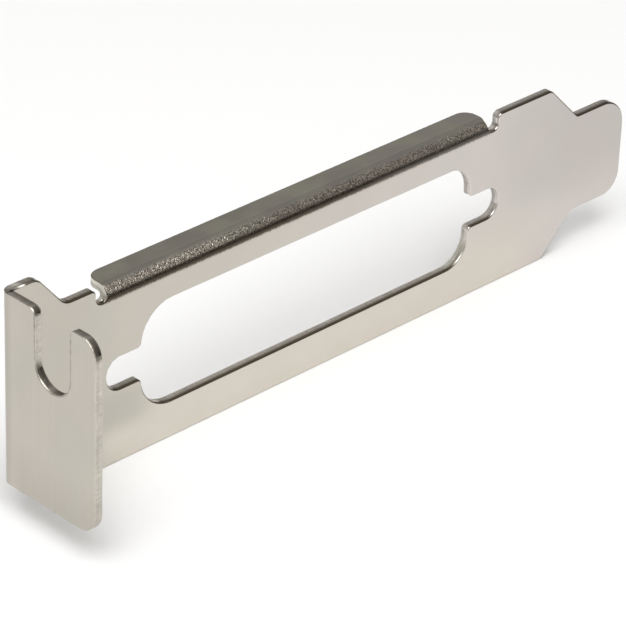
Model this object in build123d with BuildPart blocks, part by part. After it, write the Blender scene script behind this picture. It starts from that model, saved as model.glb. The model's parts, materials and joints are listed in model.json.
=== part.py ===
"""A low profile expansion slot bracket: one blank of thin steel sheet, punched and folded twice.

The plate stands upright, with its long edges along X and its front face towards -Y. Its near end
is folded forwards into the flange that is screwed to the computer's case, and a long lip on its
upper edge is folded backwards. The tongue at its far end goes into a slot of the case.
"""

import os

from build123d import *

# Sheet metal, in millimetres
sheet = 0.86  # thickness of the sheet
flange_bend = 0.2  # inside radius of the flange's fold
lip_bend = 0.44  # inside radius of the lip's fold
punch_roll = 0.15  # rounding that the punch leaves on the edges of the side it enters

# Plate
plate_length = 79.2  # flange's outer face to the tongue's tip
plate_width = 18.42

# Flange, folded forwards and set higher than the plate
flange_rise = 3.17  # plate's lower edge to the flange's
flange_lift = 3.55  # plate's upper edge to the flange's
flange_reach = 11.3  # plate's front face to the flange's free end
flange_upper_corner = 1.9
flange_lower_corner = 2.0

# Screw slot, open at the flange's upper edge
slot_width = 4.42
slot_inset = 5.4  # flange's free end to the middle of the slot
slot_depth = 4.9  # flange's upper edge to the centre of the slot's round end
slot_near_corner = 0.8  # corner of the slot's mouth on the plate's side
slot_far_corner = 0.4  # corner of the slot's mouth on the free side

# Step from the flange's height to the plate's, on both long edges
step_start = 3.55  # flange's outer face to the corner on the flange's level
step_run = 3.05  # length of the slanted stretch along the plate
step_corner = 1.5  # both of its corners

# Lip, folded backwards, with a relief notch at each end
lip_start = 11.45  # flange's outer face to the lip's near end
lip_margin = 8.8  # lip's far end to the corner where the plate narrows
lip_drop = 0.22  # plate's upper edge down to the lip's upper face
lip_reach = 3.15  # plate's front face to the lip's free edge
lip_corner = 1.4
notch_width = 1.35
notch_relief = 0.05  # fold line down to the notch's floor
notch_corner = 0.5  # where a notch opens at the plate's upper edge

# Tongue, stepped in at 45 degrees from both long edges
tongue_length = 7.0  # its narrow stretch
tongue_inset = 4.0  # long edge to the tongue's edge
tongue_corner = 0.9
tongue_root = 0.8
tip_upper_corner = 3.1
tip_lower_corner = 2.2

# Connector cut-out, with a screw lobe at each end
cutout_middle = 36.35  # flange's outer face to the middle of the cut-out
cutout_height = 9.1  # long lower edge to the middle of the cut-out
cutout_length = 41.9
cutout_width = 10.6
lobe_pitch = 46.8  # between the centres of the lobes' round ends
lobe_width = 3.25
lobe_root = 0.45  # corner between a lobe and the cut-out's end
lobe_shoulder = 0.775  # straight stretch from the far lobe to the cut-out's corner

# Places that follow, measured from the flange's outer face and from the plate's lower edge
step_end = step_start + step_run
tongue_neck = plate_length - tongue_length
tongue_start = tongue_neck - tongue_inset
tongue_top = plate_width - tongue_inset
lip_end = tongue_start - lip_margin
lip_height = plate_width - lip_drop
flange_bend_outside = flange_bend + sheet
lip_bend_outside = lip_bend + sheet
fold_line = lip_height - lip_bend_outside
near_notch = lip_start - notch_width / 2
far_notch = lip_end + notch_width / 2
notch_floor = fold_line - notch_relief
flange_top = plate_width + flange_lift
slot_height = flange_top - slot_depth
slot_reach = flange_reach - slot_inset
cutout_near_corner = (cutout_width - lobe_width) / 2  # both at the flange's end, up to the lobe
cutout_far_corner = cutout_near_corner - lobe_shoulder  # both at the tongue's end

# The origin is the centre of the screw slot's round end, on the flange's outer face, where the
# screw's head presses. The corner is where that face, the plate's front and its lower edge meet.
corner = (0, slot_reach, -slot_height)
front = Plane(origin=corner, x_dir=(1, 0, 0), z_dir=(0, -1, 0))
end = Plane(origin=corner, x_dir=(0, 1, 0), z_dir=(1, 0, 0))
above = Plane(origin=corner, x_dir=(1, 0, 0), z_dir=(0, 0, 1))


def corners_at(sketch, places):
    """The corners of a sketch nearest to the places."""
    return [sketch.vertices().sort_by_distance(place)[0] for place in places]


def fold_section(middle, inside, outside):
    """Sketch the section of a fold about its middle: the quarter ring at the upper left."""
    with Locations(middle):
        Circle(outside)
        Circle(inside, mode=Mode.SUBTRACT)
        Rectangle(outside, outside, align=(Align.MAX, Align.MIN), mode=Mode.INTERSECT)


def at_place(shapes, axis, place):
    """Those of the shapes whose middle is at a place on the axis."""
    return shapes.filter_by_position(axis, place - 0.01, place + 0.01)


def fold_faces(part, axis, radius):
    """The round faces of a radius about a line along the axis."""
    turned = part.faces().filter_by(GeomType.CYLINDER)
    turned = turned.filter_by(lambda face: face.axis_of_rotation.is_parallel(axis))
    return turned.filter_by(lambda face: abs(face.radius - radius) < 0.001)


with BuildPart() as bracket:
    # Plate, with its steps to the flange's height and to the tongue
    with BuildSketch(front):
        with BuildLine():
            outline = {
                (flange_bend_outside, flange_rise): 0,
                (step_start, flange_rise): step_corner,
                (step_end, 0): step_corner,
                (tongue_start, 0): tongue_corner,
                (tongue_neck, tongue_inset): tongue_root,
                (plate_length, tongue_inset): tip_lower_corner,
                (plate_length, tongue_top): tip_upper_corner,
                (tongue_neck, tongue_top): tongue_root,
                (tongue_start, plate_width): tongue_corner,
                (far_notch, plate_width): 0,
                (far_notch, fold_line): 0,
                (near_notch, fold_line): 0,
                (near_notch, plate_width): 0,
                (step_end, plate_width): step_corner,
                (step_start, flange_top): step_corner,
                (flange_bend_outside, flange_top): 0,
            }
            FilletPolyline(*outline, radius=list(outline.values()), close=True)
        make_face()
    extrude(amount=-sheet)

    # Connector cut-out and its lobes
    with BuildSketch(front) as cutout:
        with Locations((cutout_middle, cutout_height)):
            Rectangle(cutout_length, cutout_width)
            fillet(cutout.vertices().sort_by(Axis.X)[:2], cutout_near_corner)
            fillet(cutout.vertices().sort_by(Axis.X)[-2:], cutout_far_corner)
            SlotCenterToCenter(lobe_pitch, lobe_width)
            with GridLocations(cutout_length, lobe_width, 2, 2) as roots:
                places = [place.position for place in roots.local_locations]
        fillet(corners_at(cutout, places), lobe_root)
    extrude(amount=-sheet, mode=Mode.SUBTRACT)

    # Flange with its screw slot, and the fold that carries it
    with BuildSketch(end) as flange:
        with BuildLine():
            outline = {
                (-flange_bend, flange_rise): 0,
                (-flange_reach, flange_rise): flange_lower_corner,
                (-flange_reach, flange_top): flange_upper_corner,
                (-flange_bend, flange_top): 0,
            }
            FilletPolyline(*outline, radius=list(outline.values()), close=True)
        make_face()
        with Locations((-slot_reach, slot_height)):
            Circle(slot_width / 2, mode=Mode.SUBTRACT)
            Rectangle(slot_width, slot_depth, align=(Align.CENTER, Align.MIN), mode=Mode.SUBTRACT)
        fillet(corners_at(flange, [(-slot_reach + slot_width / 2, flange_top)]), slot_near_corner)
        fillet(corners_at(flange, [(-slot_reach - slot_width / 2, flange_top)]), slot_far_corner)
    extrude(amount=sheet)
    with BuildSketch(above.offset(flange_rise)):
        fold_section((flange_bend_outside, -flange_bend), flange_bend, flange_bend_outside)
    extrude(amount=flange_top - flange_rise)

    # Lip, and the fold that carries it from the middle of one notch to the middle of the other
    with BuildSketch(above.offset(lip_height)):
        with BuildLine():
            outline = {
                (lip_start, lip_bend_outside): 0,
                (lip_start, lip_reach): lip_corner,
                (lip_end, lip_reach): lip_corner,
                (lip_end, lip_bend_outside): 0,
            }
            FilletPolyline(*outline, radius=list(outline.values()), close=True)
        make_face()
    extrude(amount=-sheet)
    with BuildSketch(end.offset(near_notch)):
        fold_section((lip_bend_outside, fold_line), lip_bend, lip_bend_outside)
    extrude(amount=far_notch - near_notch)

    # Relief notches, through the plate's edge and the fold
    with BuildSketch(front):
        notch_middle = notch_floor + notch_width / 2
        with Locations((near_notch, notch_middle), (far_notch, notch_middle)):
            Circle(notch_width / 2)
            Rectangle(notch_width, plate_width - notch_floor, align=(Align.CENTER, Align.MIN))
    extrude(amount=-lip_reach, mode=Mode.SUBTRACT)
    for wall in (lip_start - notch_width, lip_end + notch_width):
        across = at_place(bracket.edges().filter_by(Axis.Y), Axis.X, wall)
        fillet(across.sort_by(Axis.Z)[-1], notch_corner)

    # Edges rounded by the punch, all round the side that it entered
    plate_front = at_place(bracket.faces().filter_by(Axis.Y), Axis.Y, slot_reach)
    flange_seat = at_place(bracket.faces().filter_by(Axis.X), Axis.X, sheet)
    lip_top = at_place(bracket.faces().filter_by(Axis.Z), Axis.Z, lip_height - slot_height)
    flange_fold = fold_faces(bracket, Axis.Z, flange_bend)
    lip_fold = fold_faces(bracket, Axis.X, lip_bend_outside)
    entered = plate_front + flange_seat + lip_top + flange_fold + lip_fold
    borders = [edge for face in entered for edge in face.edges()]
    fillet([edge for edge in borders if borders.count(edge) == 1], punch_roll)

bracket.part.label = "bracket"
os.makedirs("parts", exist_ok=True)
export_step(bracket.part, "parts/bracket.step")
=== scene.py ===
# %% [markdown]
# A low profile slot bracket is one blank of sheet steel. A punch cuts its outline and its openings,
# a press folds it twice, and a bath covers it with a thin satin coat of nickel. Its solid is exact
# already, so it stays as it is, and this lesson is about what makes such a plain piece of metal look
# real: a studio for it to reflect, and a finish that knows which side of the sheet the punch went
# in, where the metal was bent, and where it was torn through. Blender works in metres, and a bracket
# is thought of in millimetres, so the value MM turns the one into the other.

# %% Load the bracket
import json
import math

import bpy
from mathutils import Euler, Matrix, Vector


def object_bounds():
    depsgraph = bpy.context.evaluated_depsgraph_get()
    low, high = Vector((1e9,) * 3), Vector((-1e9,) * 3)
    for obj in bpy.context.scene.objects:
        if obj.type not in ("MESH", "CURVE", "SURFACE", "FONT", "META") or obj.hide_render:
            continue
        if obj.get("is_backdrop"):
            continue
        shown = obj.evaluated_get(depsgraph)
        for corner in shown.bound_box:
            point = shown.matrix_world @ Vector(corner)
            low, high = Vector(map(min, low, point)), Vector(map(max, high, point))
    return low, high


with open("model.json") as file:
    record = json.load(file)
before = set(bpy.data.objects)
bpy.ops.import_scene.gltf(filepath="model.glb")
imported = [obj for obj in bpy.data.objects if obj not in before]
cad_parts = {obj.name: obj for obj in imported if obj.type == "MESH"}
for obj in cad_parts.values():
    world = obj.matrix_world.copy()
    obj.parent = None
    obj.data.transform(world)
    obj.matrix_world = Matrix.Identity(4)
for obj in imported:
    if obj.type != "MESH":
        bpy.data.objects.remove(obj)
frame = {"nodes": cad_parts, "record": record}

MM = 0.001
bracket = frame["nodes"]["bracket"]
cad_low, cad_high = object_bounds()
print("bracket in mm, lowest and highest corner:", [round(v / MM, 2) for v in (*cad_low, *cad_high)])

# %% [markdown]
# Places are counted from the middle of the screw slot: X along the plate, Y from its front to its
# back, and Z up. The sheet's thickness and the places of the plate's two faces come from the seats
# in the record, where a connector and the computer's case touch the bracket. The folds, the lip,
# the relief notches and the screw slot have the sizes that the sheet metal worker set.

# %% Sizes of the sheet
seats = {mount["name"]: Vector(mount["pos_m"]) for mount in frame["record"]["mounts"]}
SHEET = seats["flange_seat"].x
PLATE_BACK = seats["connector_seat"].y
PLATE_FRONT = PLATE_BACK - SHEET
FLANGE_FOLD_INSIDE = 0.2 * MM
FLANGE_FOLD_OUTSIDE = FLANGE_FOLD_INSIDE + SHEET
FLANGE_LOWER_EDGE = -13.9 * MM
FLANGE_FREE_EDGE = -5.4 * MM
SLOT_WIDTH = 4.42 * MM
LIP_FOLD_INSIDE = 0.44 * MM
LIP_FOLD_OUTSIDE = LIP_FOLD_INSIDE + SHEET
LIP_TOP = 1.13 * MM
FOLD_LINE = LIP_TOP - LIP_FOLD_OUTSIDE
LIP_START = 11.45 * MM
LIP_END = 59.4 * MM
NOTCH_WIDTH = 1.35 * MM
NEAR_NOTCH = LIP_START - NOTCH_WIDTH / 2
FAR_NOTCH = LIP_END + NOTCH_WIDTH / 2
landmarks = {"sheet": SHEET, "plate's front": PLATE_FRONT, "lip's fold line": FOLD_LINE}
print("in mm:", {name: round(v / MM, 2) for name, v in landmarks.items()})

# %% [markdown]
# The camera and the lamps all look at one point, just under the middle of the plate. A place round
# it is easiest to say as on a globe: an azimuth, counted from the front, and an elevation.

# %% Places round the bracket
AIM = Vector((36.24, 5.51, -10.73)) * MM
print("aim in mm:", [round(v / MM, 2) for v in AIM])

def away(azimuth, elevation):
    """The direction from the aim to a camera or a lamp."""
    flat = math.cos(elevation)
    return Vector((math.sin(azimuth) * flat, -math.cos(azimuth) * flat, math.sin(elevation)))

def facing(azimuth, elevation, roll=0.0):
    """The turn of a camera or a lamp that looks back at the aim from there."""
    turn = Euler((math.pi / 2 - elevation, 0, azimuth)).to_matrix()
    return (turn @ Euler((0, 0, roll)).to_matrix()).to_euler()

# %% [markdown]
# The camera stands where the photographer's did: at the front left and a third of the way up, with
# the flange nearest to it. A long lens from a third of a metre keeps the long edges almost parallel,
# as in a picture for a catalogue, and the camera is tipped a little to one side. A wide lens from
# nearby could frame the bracket as well, but would make the flange far too large.

# %% Camera
CAMERA_AZIMUTH = math.radians(-45.68)
CAMERA_ELEVATION = math.radians(30.06)
CAMERA_ROLL = math.radians(2.18)
CAMERA_DISTANCE = 325.7 * MM
LENS = 204.63
SENSOR = 36.0
NEAREST_SEEN = 10 * MM

bpy.ops.object.select_all(action="DESELECT")
bpy.ops.object.camera_add()
camera = bpy.context.object
camera.name = "camera"
camera.location = AIM + CAMERA_DISTANCE * away(CAMERA_AZIMUTH, CAMERA_ELEVATION)
camera.rotation_euler = facing(CAMERA_AZIMUTH, CAMERA_ELEVATION, CAMERA_ROLL)
camera.data.lens = LENS
camera.data.sensor_width = SENSOR
camera.data.clip_start = NEAREST_SEEN
bpy.context.scene.camera = camera
print("camera in mm:", [round(v / MM, 1) for v in camera.location])

# %% [markdown]
# Metal has almost no colour of its own: it shows the room. The plate mirrors the floor in front of
# it, so a wide and brightly lit floor makes the plate bright. A plain plane at the height of the
# bracket's lowest point will do, as large as a table top.

# %% Floor
FLOOR_SIZE = 1.6

bpy.ops.object.select_all(action="DESELECT")
bpy.ops.mesh.primitive_plane_add(size=FLOOR_SIZE, location=(AIM.x, AIM.y, cad_low.z))
floor = bpy.context.object
floor.name = "floor"
floor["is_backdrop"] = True
print("floor at", round(cad_low.z / MM, 2), "mm")

# %% [markdown]
# Two softboxes light the table. The large one hangs high on the flange's side. It lights the floor
# that the plate mirrors, it puts the short bright glints on the rounded edges, and its shadow is
# soft. The small one stands in front and only lifts the dark side a little. Small hard lamps would
# give points of light and black shadows, which a satin finish doesn't show in a studio.

# %% Lights
def softbox(name, azimuth, elevation, distance, size, power):
    """A square lamp, in degrees, metres and watts, that looks at the aim."""
    place = math.radians(azimuth), math.radians(elevation)
    bpy.ops.object.light_add(type="AREA")
    lamp = bpy.context.object
    lamp.name = name
    lamp.location = AIM + distance * away(*place)
    lamp.rotation_euler = facing(*place)
    lamp.data.size = size
    lamp.data.energy = power
    print(name, "at", [round(v, 2) for v in lamp.location], "metres")

softbox("overhead softbox", azimuth=-50, elevation=66, distance=0.75, size=0.6, power=5.4)
softbox("front softbox", azimuth=-15, elevation=42, distance=0.9, size=0.45, power=0.5)

# %% [markdown]
# Blender's usual view softens bright tones, and would turn the white table grey. The Standard view
# shows each colour as it is lit, which suits a plain picture on white.

# %% Plain view
bpy.context.scene.view_settings.view_transform = "Standard"
print("view:", bpy.context.scene.view_settings.view_transform)

# %% [markdown]
# The finish is a sum of many small steps. Drawn as nodes by hand they fill a screen, but written as
# sums they read easily. So a small class stands for one output of the node tree, and the signs of
# Python add its Math nodes. Two of its methods say where something is. A rise goes from 0 to 1
# between two limits. A band takes four: where it begins, is full, starts to end and has ended. Two
# others make a field more or less there, by a share of itself.

# %% Numbers that vary over the surface
class Field:
    """A number that varies over the surface: one socket, with signs that add Math nodes."""

    def __init__(self, recipe, socket):
        self.recipe = recipe
        self.socket = socket

    def maths(self, operation, *values):
        """One Math node, fed with the values in their order."""
        return self.recipe.field("ShaderNodeMath", {"operation": operation}, dict(enumerate(values)))

    def __add__(self, other):
        return self.maths("ADD", self, other)

    def __sub__(self, other):
        return self.maths("SUBTRACT", self, other)

    def __rsub__(self, other):
        return self.maths("SUBTRACT", other, self)

    def __mul__(self, other):
        return self.maths("MULTIPLY", self, other)

    def __truediv__(self, other):
        return self.maths("DIVIDE", self, other)

    def __abs__(self):
        return self.maths("ABSOLUTE", self)

    def __pow__(self, power):
        return self.maths("POWER", self, power)

    __radd__ = __add__
    __rmul__ = __mul__

    def above(self, limit):
        """1 where the field is above the limit, and 0 elsewhere."""
        return self.maths("GREATER_THAN", self, limit)

    def least(self, other):
        """The smaller of the two."""
        return self.maths("MINIMUM", self, other)

    def most(self, other):
        """The larger of the two."""
        return self.maths("MAXIMUM", self, other)

    def rise(self, low, high):
        """Goes smoothly from 0 at low to 1 at high."""
        settings = {"interpolation_type": "SMOOTHSTEP"}
        sockets = {"Value": self, "From Min": low, "From Max": high}
        return self.recipe.field("ShaderNodeMapRange", settings, sockets)

    def band(self, low, full_low, full_high, high):
        """Rises from 0 at low to 1 at full_low, and falls from 1 at full_high to 0 at high."""
        return self.rise(low, full_low) * (1 - self.rise(full_high, high))

    def centred(self):
        """Noise counted from its middle, from -0.5 to 0.5 in place of 0 to 1."""
        return self - 0.5

    def less(self, by, where):
        """Smaller by a share of itself where a field is 1."""
        return self * (1 - by * where)

    def more(self, by, where):
        """Larger by a share of itself where a field is 1."""
        return self * (1 + by * where)

# %% [markdown]
# Every other node comes from one method, which takes the kind of node, then its settings, then the
# values or links of its sockets. Colours and vectors have their own nodes, because a Math node would
# turn them grey. A Mix node has sockets for each kind of value, and those for colours are known by
# their numbers. The noise is given as clouds to the metre along each axis, so that its scale can be
# thought of on the real sheet: 1000 is a cloud to the millimetre.

# %% Node trees
FIRST_COLOUR, SECOND_COLOUR, MIXED_COLOUR = 6, 7, 2

class Recipe:
    """The node tree of a material, or of the room."""

    def __init__(self, owner):
        self.owner = owner
        owner.use_nodes = True
        self.tree = owner.node_tree
        self.tree.nodes.clear()

    def node(self, kind, settings, sockets):
        """Adds a node: its settings first, and then the values or links of its sockets."""
        node = self.tree.nodes.new(kind)
        for name, value in settings.items():
            setattr(node, name, value)
        for name, value in sockets.items():
            if isinstance(value, Field):
                self.tree.links.new(value.socket, node.inputs[name])
            else:
                node.inputs[name].default_value = value
        return node

    def field(self, kind, settings, sockets, output=0):
        """Adds a node, and stands for one of its outputs."""
        return Field(self, self.node(kind, settings, sockets).outputs[output])

    def parts(self, vector):
        """The x, y and z of a vector."""
        node = self.node("ShaderNodeSeparateXYZ", {}, {"Vector": vector})
        return [Field(self, output) for output in node.outputs]

    def vector(self, *parts):
        """The vector of an x, a y and a z."""
        return self.field("ShaderNodeCombineXYZ", {}, dict(enumerate(parts)))

    def times(self, *pair):
        """Two vectors or colours, multiplied part by part."""
        return self.field("ShaderNodeVectorMath", {"operation": "MULTIPLY"}, dict(enumerate(pair)))

    def noise(self, place, clouds, detail):
        """Cloudy noise from 0 to 1, with a number of clouds to the metre along each axis."""
        sockets = {"Vector": self.times(place, clouds), "Scale": 1.0, "Detail": detail}
        return self.field("ShaderNodeTexNoise", {}, sockets)

    def mix(self, factor, low, high):
        """Two colours mixed by a field."""
        sockets = {"Factor": factor, FIRST_COLOUR: low, SECOND_COLOUR: high}
        return self.field("ShaderNodeMix", {"data_type": "RGBA"}, sockets, MIXED_COLOUR)

    def tint(self, colour, tone):
        """A colour made lighter or darker by a field."""
        sockets = {"Vector": colour, "Scale": tone}
        return self.field("ShaderNodeVectorMath", {"operation": "SCALE"}, sockets)

    def count(self, step):
        """Prints how many nodes the tree has after a step."""
        print(step, "brings", self.owner.name, "to", len(self.tree.nodes), "nodes")

    def output(self, kind, shader):
        """Shows a shader, with an output node of the right kind."""
        self.tree.links.new(shader.outputs[0], self.tree.nodes.new(kind).inputs[0])
        print(self.owner.name, "has", len(self.tree.nodes), "nodes")

# %% [markdown]
# The lip's top and the edges that look up mirror what is above and behind. In a studio those are
# dim walls and a ceiling, dark near the table, and a pale card at the back left, which keeps the
# lip's near end light. The room is the world's own shader, and is only seen in the metal: in the
# picture, the floor reaches past the frame. A direction into the room has three parts, each from
# -1 to 1, to the right, to the back and up, and they say where walls, ceiling and card are.

# %% Room
DARK_BY_THE_TABLE = (0.01, 0.01, 0.01, 1)
DIM_WALL = (0.28, 0.272, 0.255, 1)
CEILING = (0.5, 0.5, 0.5, 1)
CARD = (0.55, 0.54, 0.52, 1)
WALL_BEGINS = (0.02, 0.35)
CEILING_BEGINS = (0.5, 0.9)
CARD_BEGINS = (0.5, 1.1)
CARD_HEIGHT = (-0.1, 0.0, 0.5, 0.7)

room = Recipe(bpy.data.worlds.new("room"))
right, back, height = room.parts(room.field("ShaderNodeTexCoord", {}, {}, "Generated"))
glow = room.mix(height.rise(*WALL_BEGINS), DARK_BY_THE_TABLE, DIM_WALL)
glow = room.mix(height.rise(*CEILING_BEGINS), glow, CEILING)
card = (back - right).rise(*CARD_BEGINS) * height.band(*CARD_HEIGHT)
glow = room.mix(card, glow, CARD)
room.output("ShaderNodeOutputWorld", room.node("ShaderNodeBackground", {}, {"Color": glow}))
bpy.context.scene.world = room.owner

# %% [markdown]
# The finish starts from the place on the bracket, in metres from the middle of the screw slot, and
# from the way the surface faces there. Two small helpers do what comes back often: a choice between
# two fields, and a distance. Two masks tell the flange from the plate, and the stretch that carries
# the lip from the rest. The flange's mask is soft, so that the finishes run into each other.

# %% Places on the bracket
FLANGE_RUNS_IN = 2 * MM

nickel = Recipe(bpy.data.materials.new("satin nickel plate"))
place = nickel.field("ShaderNodeTexCoord", {}, {}, "Object")
x, y, z = nickel.parts(place)
facing_x, facing_y, facing_z = nickel.parts(nickel.field("ShaderNodeTexCoord", {}, {}, "Normal"))
facing_up = facing_z.most(0)

def choose(test, yes, no):
    """Yes where the test is 1, and no where it is 0."""
    return no + test * (yes - no)

def distance(across, up):
    """How far a place is from a middle, from how far it is across and up."""
    return (across * across + up * up) ** 0.5

on_flange = 1 - y.rise(PLATE_FRONT - FLANGE_RUNS_IN, PLATE_FRONT)
between_notches = x.above(NEAR_NOTCH) * (FAR_NOTCH - x).above(0)
print("lip's stretch in mm:", round(NEAR_NOTCH / MM, 2), "to", round(FAR_NOTCH / MM, 2))

# %% [markdown]
# Every point of the bracket lies at some depth below the side that the punch went into: 0 on that
# side, 1 on the other, and in between on the cut edges. One field of that depth is enough to tell
# the faces from the edges, and the clean part of an edge from its torn part. On the plate the depth
# runs along Y, on the flange along X, on the lip along Z, and round a fold it is measured from the
# middle of the fold. A painted mask could say the same, but would have to be painted anew whenever
# a size changes.

# %% Depth below the punched side
flange_fold_y = y - (PLATE_FRONT - FLANGE_FOLD_INSIDE)
lip_fold_y = y - (PLATE_FRONT + LIP_FOLD_OUTSIDE)
from_flange_fold = distance(x - FLANGE_FOLD_OUTSIDE, flange_fold_y)
round_flange_fold = from_flange_fold - FLANGE_FOLD_INSIDE
round_lip_fold = LIP_FOLD_OUTSIDE - distance(lip_fold_y, z - FOLD_LINE)
near = choose(flange_fold_y.above(0), round_flange_fold, SHEET - x)
upper = choose(lip_fold_y.above(0), LIP_TOP - z, round_lip_fold)
far = choose(z.above(FOLD_LINE) * between_notches, upper, y - PLATE_FRONT)
depth = choose(x.above(FLANGE_FOLD_OUTSIDE), far, near) / SHEET
nickel.count("depth")

# %% [markdown]
# A satin coat of nickel is a warm pale grey, a little cooler towards the tongue, and lighter there
# as painted light. The strip below the connector's cut-out is lighter too, a painted reflection of
# the bright floor, but not its end beside the near screw lobe. The colour is a mix of three greys
# by place, which is all that such slow changes need.

# %% Satin colour and painted light
NEAR_GREY = (0.548, 0.518, 0.458, 1)
FAR_GREY = (0.607, 0.572, 0.540, 1)
LOW_STRIP_PAINTED_LIGHT_GREY = (0.647, 0.611, 0.545, 1)
NEAR_TO_FAR = (5 * MM, 70 * MM)
LOW_STRIP_ALONG = (9 * MM, 11.5 * MM, 60 * MM, 72 * MM)
LOW_STRIP_HEIGHT = (-15 * MM, -7 * MM)
LOBE_ALONG = (14 * MM, 18 * MM)
LOBE_HEIGHT = (-14.8 * MM, -12.3 * MM)

# painted light: FAR_GREY is lighter than NEAR_GREY
satin = nickel.mix(x.rise(*NEAR_TO_FAR), NEAR_GREY, FAR_GREY)
beside_lobe = (1 - x.rise(*LOBE_ALONG)) * z.rise(*LOBE_HEIGHT)
# painted reflection of the bright floor: a lighter strip low on the plate
low_strip_painted_light = x.band(*LOW_STRIP_ALONG) * (1 - z.rise(*LOW_STRIP_HEIGHT))
satin = nickel.mix(low_strip_painted_light * (1 - beside_lobe), satin, LOW_STRIP_PAINTED_LIGHT_GREY)
nickel.count("satin colour")

# %% [markdown]
# Faint clouds run through the coat where the bath did not plate evenly, and painted shade makes it
# darker beside the flange, below the near lobe and towards the tongue. All that is kept in a tone of
# its own, which the colour is multiplied by at the end, so that each later step only has to change
# the tone.

# %% Tone and painted shade of the plate
CLOUDS = (180, 180, 180)
CLOUD_CONTRAST = 0.10
BESIDE_FLANGE = (8 * MM, 16 * MM)
BESIDE_FLANGE_PAINTED_SHADE = 0.05
BELOW_LOBE_ALONG = (8 * MM, 12 * MM)
BELOW_LOBE_HEIGHT = (-11 * MM, -9 * MM)
BELOW_LOBE_PAINTED_SHADE = 0.07
TONGUE_ALONG = (58 * MM, 72 * MM)
TONGUE_HEIGHT = (-13 * MM, -7 * MM)
TONGUE_PAINTED_SHADE = 0.10

clouds = nickel.noise(place, CLOUDS, detail=3).centred()
tone = 1 + CLOUD_CONTRAST * clouds
# painted shade beside the flange, below the near lobe and towards the tongue
tone = tone.less(by=BESIDE_FLANGE_PAINTED_SHADE, where=1 - x.rise(*BESIDE_FLANGE))
below_lobe = beside_lobe * (1 - z.rise(*BELOW_LOBE_HEIGHT)) * x.rise(*BELOW_LOBE_ALONG)
tone = tone.less(by=BELOW_LOBE_PAINTED_SHADE, where=below_lobe)
at_tongue = x.rise(*TONGUE_ALONG) * z.rise(*TONGUE_HEIGHT)
tone = tone.less(by=TONGUE_PAINTED_SHADE, where=at_tongue)
nickel.count("tone")

# %% [markdown]
# A coat of nickel is not quite one colour either. Patches a little under a centimetre wide are a
# touch pinker or greener than their neighbours, by about a hundredth, which the eye takes for real
# metal.

# %% Blush
BLUSH = (140, 140, 140)
BLUSH_BORDER = (0.42, 0.60)
GREENISH = (0.996, 1.003, 0.996, 1)
PINKISH = (1.009, 0.994, 0.998, 1)

blush = nickel.noise(place, BLUSH, detail=2).rise(*BLUSH_BORDER)
satin = nickel.times(satin, nickel.mix(blush, GREENISH, PINKISH))
nickel.count("blush")

# %% [markdown]
# The blank was brushed before it was plated, and on the flange the brushing shows as faint upright
# streaks. Noise that is stretched along Z draws them. Painted shade makes the flange a little darker
# than the plate, most of all at its lower edge.

# %% Brushed streaks and painted shade on the flange
STREAKS = (3000, 3000, 90)
STREAK_CONTRAST = 0.07
FLANGE_PAINTED_SHADE = 0.035
LOWER_EDGE_PAINTED_SHADE = 0.10
LOWER_EDGE_FADES = 6 * MM

streaks = nickel.noise(place, STREAKS, detail=2).centred()
low_on_flange = 1 - z.rise(FLANGE_LOWER_EDGE, FLANGE_LOWER_EDGE + LOWER_EDGE_FADES)
# painted shade on the flange, deepest at its lower edge, with the brushed streaks in it
flange_painted_shade_and_streaks = FLANGE_PAINTED_SHADE + LOWER_EDGE_PAINTED_SHADE * low_on_flange - STREAK_CONTRAST * streaks
tone = tone.less(by=flange_painted_shade_and_streaks, where=on_flange)
nickel.count("streaks")

# %% [markdown]
# The punch leaves the flange's outer face through the slot's border and the free edge, and pushes a
# thin burr ahead of it. It shows as a nicked line a tenth of a millimetre wide, with painted shade
# round the slot and a painted highlight along the free edge. The outer side of the fold gets painted
# shade too, where it turns away from the light.

# %% Burr round the slot and along the free edge, with painted highlight and shade
NICKS = (2500, 2500, 2500)
OUTER_FACE = 0.97
SLOT_LINE = (-0.02 * MM, 0.02 * MM, 0.10 * MM, 0.16 * MM)
FREE_EDGE_LINE = (-0.02 * MM, 0.02 * MM, 0.10 * MM, 0.20 * MM)
FREE_EDGE_PAINTED_HIGHLIGHT, FREE_EDGE_NICKS = 0.1, 0.5
SLOT_BURR_PAINTED_SHADE, SLOT_NICKS = 0.3, 0.9
FOLD_TURNS_AWAY = (-0.8 * MM, 0.8 * MM)
FOLD_TURN_PAINTED_SHADE = 0.24

nicks = nickel.noise(place, NICKS, detail=1)
nicked = nicks.centred()
far_side = depth.above(OUTER_FACE)
slot_burr = (distance(y, z.least(0)) - SLOT_WIDTH / 2).band(*SLOT_LINE)
edge_burr = (y - FLANGE_FREE_EDGE).band(*FREE_EDGE_LINE)
# painted highlight on the burr of the free edge, painted shade on the burr round the slot
tone = tone.more(by=FREE_EDGE_PAINTED_HIGHLIGHT + FREE_EDGE_NICKS * nicked, where=far_side * on_flange * edge_burr)
tone = tone.less(by=SLOT_BURR_PAINTED_SHADE + SLOT_NICKS * nicked, where=far_side * on_flange * slot_burr)
# painted shade where the flange's fold turns away from the light
fold_side = far_side * (FLANGE_FOLD_OUTSIDE - x).above(0)
tone = tone.less(by=FOLD_TURN_PAINTED_SHADE, where=flange_fold_y.rise(*FOLD_TURNS_AWAY) * fold_side)
nickel.count("burr")

# %% [markdown]
# A punched edge has four zones, one below the other: a rounded rim where the sheet was drawn in, a
# smooth band that the punch cut, a rough one where the rest tore off, and the burr. Each is a rise
# or a band of the depth. Fine drag marks run from rim to burr, so their noise is stretched along
# the depth, and a coarser mottle breaks them up. The burr zone is a little lighter: painted highlight.

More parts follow.
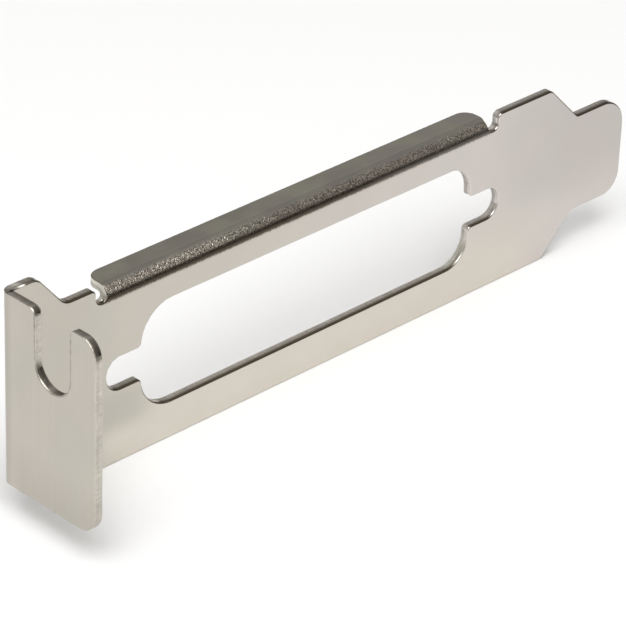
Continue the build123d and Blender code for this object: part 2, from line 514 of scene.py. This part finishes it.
# %% Zones of a punched edge
RIM_ENDS = (0.20, 0.40)
CUT = (0.14, 0.24, 0.97, 0.985)
TORN = (0.42, 0.62, 0.97, 0.985)
BURR = (0.86, 0.92, 0.97, 0.985)
ALONG_DRAG, ACROSS_DRAG = 500, 6000
MOTTLE = (1400, 1400, 1400)
DRAG_CONTRAST = 0.5
MOTTLE_CONTRAST = 0.5
BURR_PAINTED_HIGHLIGHT = 0.1

rolled = 1 - depth.rise(*RIM_ENDS)
cut = depth.band(*CUT)
torn = depth.band(*TORN)
burr = depth.band(*BURR)
across_x = choose(on_flange, ALONG_DRAG, ACROSS_DRAG)
across_y = choose(on_flange, ACROSS_DRAG, ALONG_DRAG)
drag = nickel.noise(place, nickel.vector(across_x, across_y, ACROSS_DRAG), detail=2).centred()
mottle = nickel.noise(place, MOTTLE, detail=2).centred()
# the burr's share is a painted highlight; drag marks and mottle are the edge's own
tone = tone.more(by=DRAG_CONTRAST * drag + BURR_PAINTED_HIGHLIGHT * burr + MOTTLE_CONTRAST * mottle, where=cut)
nickel.count("zones")

# %% [markdown]
# On the plate and the lip, edges that face up get a painted highlight where they are torn, kept
# weak at the flange's raised top corner. Upright walls get painted shade where they are torn, with a
# painted light line along their rim.

# %% Painted light and shade on the plate's edges
TOP_CORNER_BEGINS = (2 * MM, 3 * MM)
RIM_LINE = (0.01, 0.04, 0.14, 0.30)
TORN_PAINTED_LIGHT = 0.27
CORNER_WEAKENS_PAINTED_LIGHT = 0.24
WALL_PAINTED_SHADE = 0.28
RIM_PAINTED_LIGHT = 0.16

top_corner = z.rise(*TOP_CORNER_BEGINS)
# painted shade on torn upright walls, and painted light on their rims and on torn edges facing up
wall_painted_shade = (1 - facing_up) * (WALL_PAINTED_SHADE * torn - RIM_PAINTED_LIGHT * depth.band(*RIM_LINE))
plate_painted_light = facing_up * torn * (TORN_PAINTED_LIGHT - CORNER_WEAKENS_PAINTED_LIGHT * top_corner) - wall_painted_shade
nickel.count("plate's edges")

# %% [markdown]
# On the flange it is the other way round: its edges get painted shade where they face up, with a
# painted highlight on the rim, and the nicked burr, which leans and so glints by itself, gets painted
# highlights too where a curve of the slot or of a corner turns to the side.

# %% Painted light and shade on the flange's edges
TURNED_TO_SIDE = (0.20, 0.45, 0.85, 0.97)
UP_AT_ALL = (0.02, 0.3)
WHOLLY_UP = (0.9, 1.0)
GLINTING_NICKS = (0.40, 0.52)
PAINTED_GLINT = 0.6
UP_FACING_PAINTED_SHADE = 0.20
CURVE_PAINTED_SHADE = 0.12
FLANGE_RIM_PAINTED_HIGHLIGHT = 0.2

turned = facing_up.band(*TURNED_TO_SIDE)
# painted highlights on the burr's curves, painted shade on edges facing up, painted highlight on the rim
painted_glint = PAINTED_GLINT * turned * burr * nicks.rise(*GLINTING_NICKS)
flange_edge_painted_shade = UP_FACING_PAINTED_SHADE * facing_up.rise(*UP_AT_ALL) * cut + CURVE_PAINTED_SHADE * turned * cut * (1 - burr)
flange_painted_light = painted_glint - flange_edge_painted_shade + FLANGE_RIM_PAINTED_HIGHLIGHT * rolled * facing_up.rise(*WHOLLY_UP)
tone = tone * (1 + choose(on_flange, flange_painted_light, plate_painted_light))
nickel.count("flange's edges")

# %% [markdown]
# A press bends the lip over a sharp tool, and the outside of such a fold is stretched until the
# grain of the steel stands out: orange peel, say sheet metal workers. It is a band of flecks, light
# and dark, along the whole fold. The place along the fold is counted round it, from 0 where the
# plate ends to 1 where the flat lip begins, and the band's borders are made ragged by the flecks.
# The flecks are stronger at the fold's near end, and painted light makes them lighter there.

# %% Grain of the lip's fold
PEEL = (6600, 6000, 6000)
DARK_TO_LIGHT = (0.36, 0.64)
END_WALL = (0.3, 0.8)
OUTSIDE_ENDS = (0.3, 0.6)
RAGGEDNESS = 0.03
STRETCHED = (0.0, 0.40, 0.46, 0.84)
NEAR_END_FADES = (22 * MM, 32 * MM)
WEAKER_FAR = 0.25
FLECK_CONTRAST = 1.4
MORE_CONTRAST_NEAR = 0.2
NEAR_END_PAINTED_LIGHT = 0.3

over_fold = (y - PLATE_FRONT).least(LIP_FOLD_OUTSIDE) + z - FOLD_LINE
along_fold = over_fold / (2 * LIP_FOLD_OUTSIDE)
not_end_wall = 1 - abs(facing_x).rise(*END_WALL)
fold_outside = between_notches * (1 - depth.rise(*OUTSIDE_ENDS)) * not_end_wall
peel = nickel.noise(place, PEEL, detail=3)
flecks = peel.rise(*DARK_TO_LIGHT).centred()
ragged = along_fold + RAGGEDNESS * flecks
past_near_end = x.rise(*NEAR_END_FADES)
near_end = 1 - past_near_end
stretched = along_fold.band(*STRETCHED) * fold_outside
peel_strength = stretched.less(by=WEAKER_FAR, where=past_near_end)
# painted light: the flecks are lighter at the fold's near end
flecks_and_painted_light = (FLECK_CONTRAST + MORE_CONTRAST_NEAR * near_end) * flecks + NEAR_END_PAINTED_LIGHT * near_end
tone = tone.more(by=flecks_and_painted_light, where=peel_strength)
nickel.count("grain")

# %% [markdown]
# Painted shade gives the fold a dark line on the plate's side, a painted reflection of the dark
# room, and a softer painted shade before the flat lip. The stretched coat is thin, so the steel gives
# the band a warmer tint.

# %% Painted shade and tint of the fold
STRETCHED_COAT = (0.600, 0.530, 0.465, 1)
THINNED = 0.8
FIRST_LINE = (-0.09, 0.0, 0.14, 0.28)
FIRST_LINE_PAINTED_SHADE = 0.45
LAST_STRETCH = (0.35, 0.6, 0.85, 1.05)
LAST_STRETCH_PAINTED_SHADE = 0.25

# painted shade: the fold's dark first line and its shaded last stretch
tone = tone.less(by=FIRST_LINE_PAINTED_SHADE, where=ragged.band(*FIRST_LINE) * fold_outside)
tone = tone.less(by=LAST_STRETCH_PAINTED_SHADE, where=along_fold.band(*LAST_STRETCH) * fold_outside)
satin = nickel.mix(THINNED * stretched, satin, STRETCHED_COAT)
nickel.count("fold's shade")

# %% [markdown]
# The lip's flat top lay against the press's tool, which has left it with long soft patches of a
# slightly greener grey. The whole top is also a touch lighter: painted light.

# %% Patches on the lip
PATCHES = (240, 400, 400)
PATCH_BORDER = (0.35, 0.65)
PATCH_CONTRAST = 0.35
LIP_PAINTED_LIGHT = 0.02
LIP_GREY = (0.595, 0.574, 0.492, 1)

on_lip = z.rise(LIP_TOP - SHEET, LIP_TOP - SHEET / 2) * between_notches
patches = nickel.noise(place, PATCHES, detail=2)
# painted light: the lip's top a touch lighter, with its patches
tone = tone.more(by=LIP_PAINTED_LIGHT + PATCH_CONTRAST * patches.centred(), where=on_lip)
satin = nickel.mix(on_lip * patches.rise(*PATCH_BORDER), satin, LIP_GREY)
nickel.count("patches")

# %% [markdown]
# A brown painted shade darkens the rounded rims that face up, a painted reflection of the dark room.
# It is strongest along the plate's rims where the edge lies level or leans towards the tongue,
# weaker on the flange, and mostly left out at the flange's top corner, where the pressed corner
# glints. How straight up an edge faces is taken from its normal, without the part that only comes
# from the rounding of the rim. Where nothing is left to divide by, the divisor is a thousandth.

# %% Painted shade on the rims
PAINTED_SHADE_BROWN = (0.115, 0.090, 0.052, 1)
LEAST_DIVISOR = 0.001
UP_ENOUGH = (0.02, 0.30)
LEVEL_ENOUGH = (0.80, 0.96)
BELOW_LIP_FOLD = 0.6 * MM
FOLD_CORNER_ENDS = (1.0 * MM, 1.6 * MM)
RIM_PAINTED_SHADE = 0.92
WEAKER_ON_FLANGE = 0.65
LESS_AT_CORNER, MORE_BY_THE_FOLD = 0.35, 0.55

across_edge = choose(on_flange, facing_y, facing_x.least(0))
straight_up = facing_up / distance(across_edge, facing_z).most(LEAST_DIVISOR)
round_lip = between_notches * z.above(FOLD_LINE - BELOW_LIP_FOLD)
# brown painted shade on rims that face up and lie level
rim_painted_shade = rolled * facing_up.rise(*UP_ENOUGH) * straight_up.rise(*LEVEL_ENOUGH) * (1 - round_lip)
rim_painted_shade = RIM_PAINTED_SHADE * rim_painted_shade.less(by=WEAKER_ON_FLANGE, where=on_flange)
by_the_fold = 1 - from_flange_fold.rise(*FOLD_CORNER_ENDS)
rim_painted_shade = rim_painted_shade.less(by=LESS_AT_CORNER + MORE_BY_THE_FOLD * by_the_fold, where=top_corner)
nickel.count("rim stain")

# %% [markdown]
# The same brown painted shade deepens the dark line at the start of the lip's fold, with a trace of
# it over the whole fold, and lies on the slot's wall where it faces up. The strongest of the three
# wins at each place, which keeps their sum from going past a full painted shade.

# %% Painted shade on the lip's fold and in the slot
LINE = (-0.12, -0.01, 0.12, 0.38)
FOLD_LINE_PAINTED_SHADE = 0.85
LINE_FADES = (38 * MM, 50 * MM)
LINE_FADES_BY = 0.20
TRACE = (-0.05, 0.1, 0.8, 1.0)
TRACE_PAINTED_SHADE = 0.22
SLOT_WALL_PAINTED_SHADE = 0.52
SLOT_SIDES = (0.02, 0.25, 0.88, 0.98)

# painted shade along the fold's first line, over the fold and on the slot's wall
fold_line_painted_shade = (FOLD_LINE_PAINTED_SHADE - LINE_FADES_BY * x.rise(*LINE_FADES)) * ragged.band(*LINE)
fold_painted_shade = fold_line_painted_shade.most(TRACE_PAINTED_SHADE * ragged.band(*TRACE)) * fold_outside
slot_wall_painted_shade = SLOT_WALL_PAINTED_SHADE * on_flange * cut * (1 - burr) * facing_up.band(*SLOT_SIDES)
painted_shade = rim_painted_shade.most(fold_painted_shade).most(slot_wall_painted_shade)
nickel.count("fold and slot stain")

# %% [markdown]
# What is raised or sunk by a tenth of a millimetre at most is too fine for the solid, and goes into
# a Bump node, whose height is here counted in millimetres: the flecks, the grain under the coat,
# the drag marks and the mottle of a cut edge, and the burr, which leans over the outer face.

# %% Relief
GRAIN = (7000, 7000, 7000)
GRAIN_HEIGHT = 0.0015
PEEL_HEIGHT = 0.085
DRAG_HEIGHT = 0.01
MOTTLE_HEIGHT = 0.08
BURR_LEAN = 0.10
LEAN_BEGINS = (0.78, 0.97)

grain = nickel.noise(place, GRAIN, detail=2).centred()
relief = PEEL_HEIGHT * peel_strength * peel.centred() + GRAIN_HEIGHT * grain
relief = relief + DRAG_HEIGHT * torn * drag + MOTTLE_HEIGHT * cut * mottle
relief = relief - BURR_LEAN * on_flange * depth.rise(*LEAN_BEGINS)
nickel.count("relief")

# %% [markdown]
# A real fold starts more gently than the solid's, so the first stretch of the lip's fold is eased
# down, and the inner corner of the flange's fold is pressed in at its upper end, where it glints.
# Both are a little deeper than the rest of the relief, but leave the outline as it is.

# %% Eased fold and pressed corner
EASED_BY = 0.16
EASED_BELOW, EASED_ABOVE = 0.5 * MM, 0.7 * MM
PRESSED_BY = 0.28
PRESS_ENDS = (0.25 * MM, 1.3 * MM)
PRESS_RUNS_IN = (0, 0.3 * MM)
PRESS_FACES_UP = (0.3, 0.6)

eased = z.rise(FOLD_LINE - EASED_BELOW, FOLD_LINE + EASED_ABOVE) * fold_outside
pressed = (1 - from_flange_fold.rise(*PRESS_ENDS)) * flange_fold_y.rise(*PRESS_RUNS_IN)
relief = relief - EASED_BY * eased - PRESSED_BY * pressed * facing_up.rise(*PRESS_FACES_UP)
bump = nickel.field("ShaderNodeBump", {}, {"Strength": 1.0, "Distance": MM, "Height": relief})
nickel.count("eased fold")

# %% [markdown]
# A satin coat is rough enough to blur the room, but not matt. The stretched coat and the cut edges
# are smoother, the torn edges rougher. All of it meets in one metallic shader. The solid keeps its
# mesh, and only gets the finished material.

# %% Nickel
SATIN_ROUGHNESS = 0.30
CLOUD_ROUGHNESS = 0.04
STRETCHED_GLOSS = 0.06
CUT_GLOSS = 0.10
TORN_ROUGHNESS = 0.20

roughness = SATIN_ROUGHNESS + CLOUD_ROUGHNESS * clouds - STRETCHED_GLOSS * stretched
roughness = roughness - CUT_GLOSS * cut + TORN_ROUGHNESS * torn
# The base colour holds the painted light and shade above, with the brown painted shade mixed in.
nickel_shader = nickel.node("ShaderNodeBsdfPrincipled", {}, {
    "Base Color": nickel.tint(nickel.mix(painted_shade, satin, PAINTED_SHADE_BROWN), tone),
    "Metallic": 1.0,
    "Roughness": roughness,
    "Normal": bump,
})
nickel.output("ShaderNodeOutputMaterial", nickel_shader)
bracket.data.materials.clear()
bracket.data.materials.append(nickel.owner)

# %% [markdown]
# The floor is a sheet of white paper: pale, and matt enough that it mirrors nothing.

# %% White paper
PAPER = (0.9, 0.9, 0.9, 1)
MATT = 0.9

paper = Recipe(bpy.data.materials.new("white paper"))
paper_shader = paper.node("ShaderNodeBsdfPrincipled", {}, {"Base Color": PAPER, "Roughness": MATT})
paper.output("ShaderNodeOutputMaterial", paper_shader)
floor.data.materials.append(paper.owner)

# %% [markdown]
# At the end the dressed bracket is measured, and the change of its box from the solid's box at the
# start is printed: the finish changes the material, not the part's size.

# %% Measure and finish
low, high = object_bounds()
growth = [round((after - before) / MM, 3) for after, before in zip((*low, *high), (*cad_low, *cad_high))]
print("change of the box in mm:", growth)
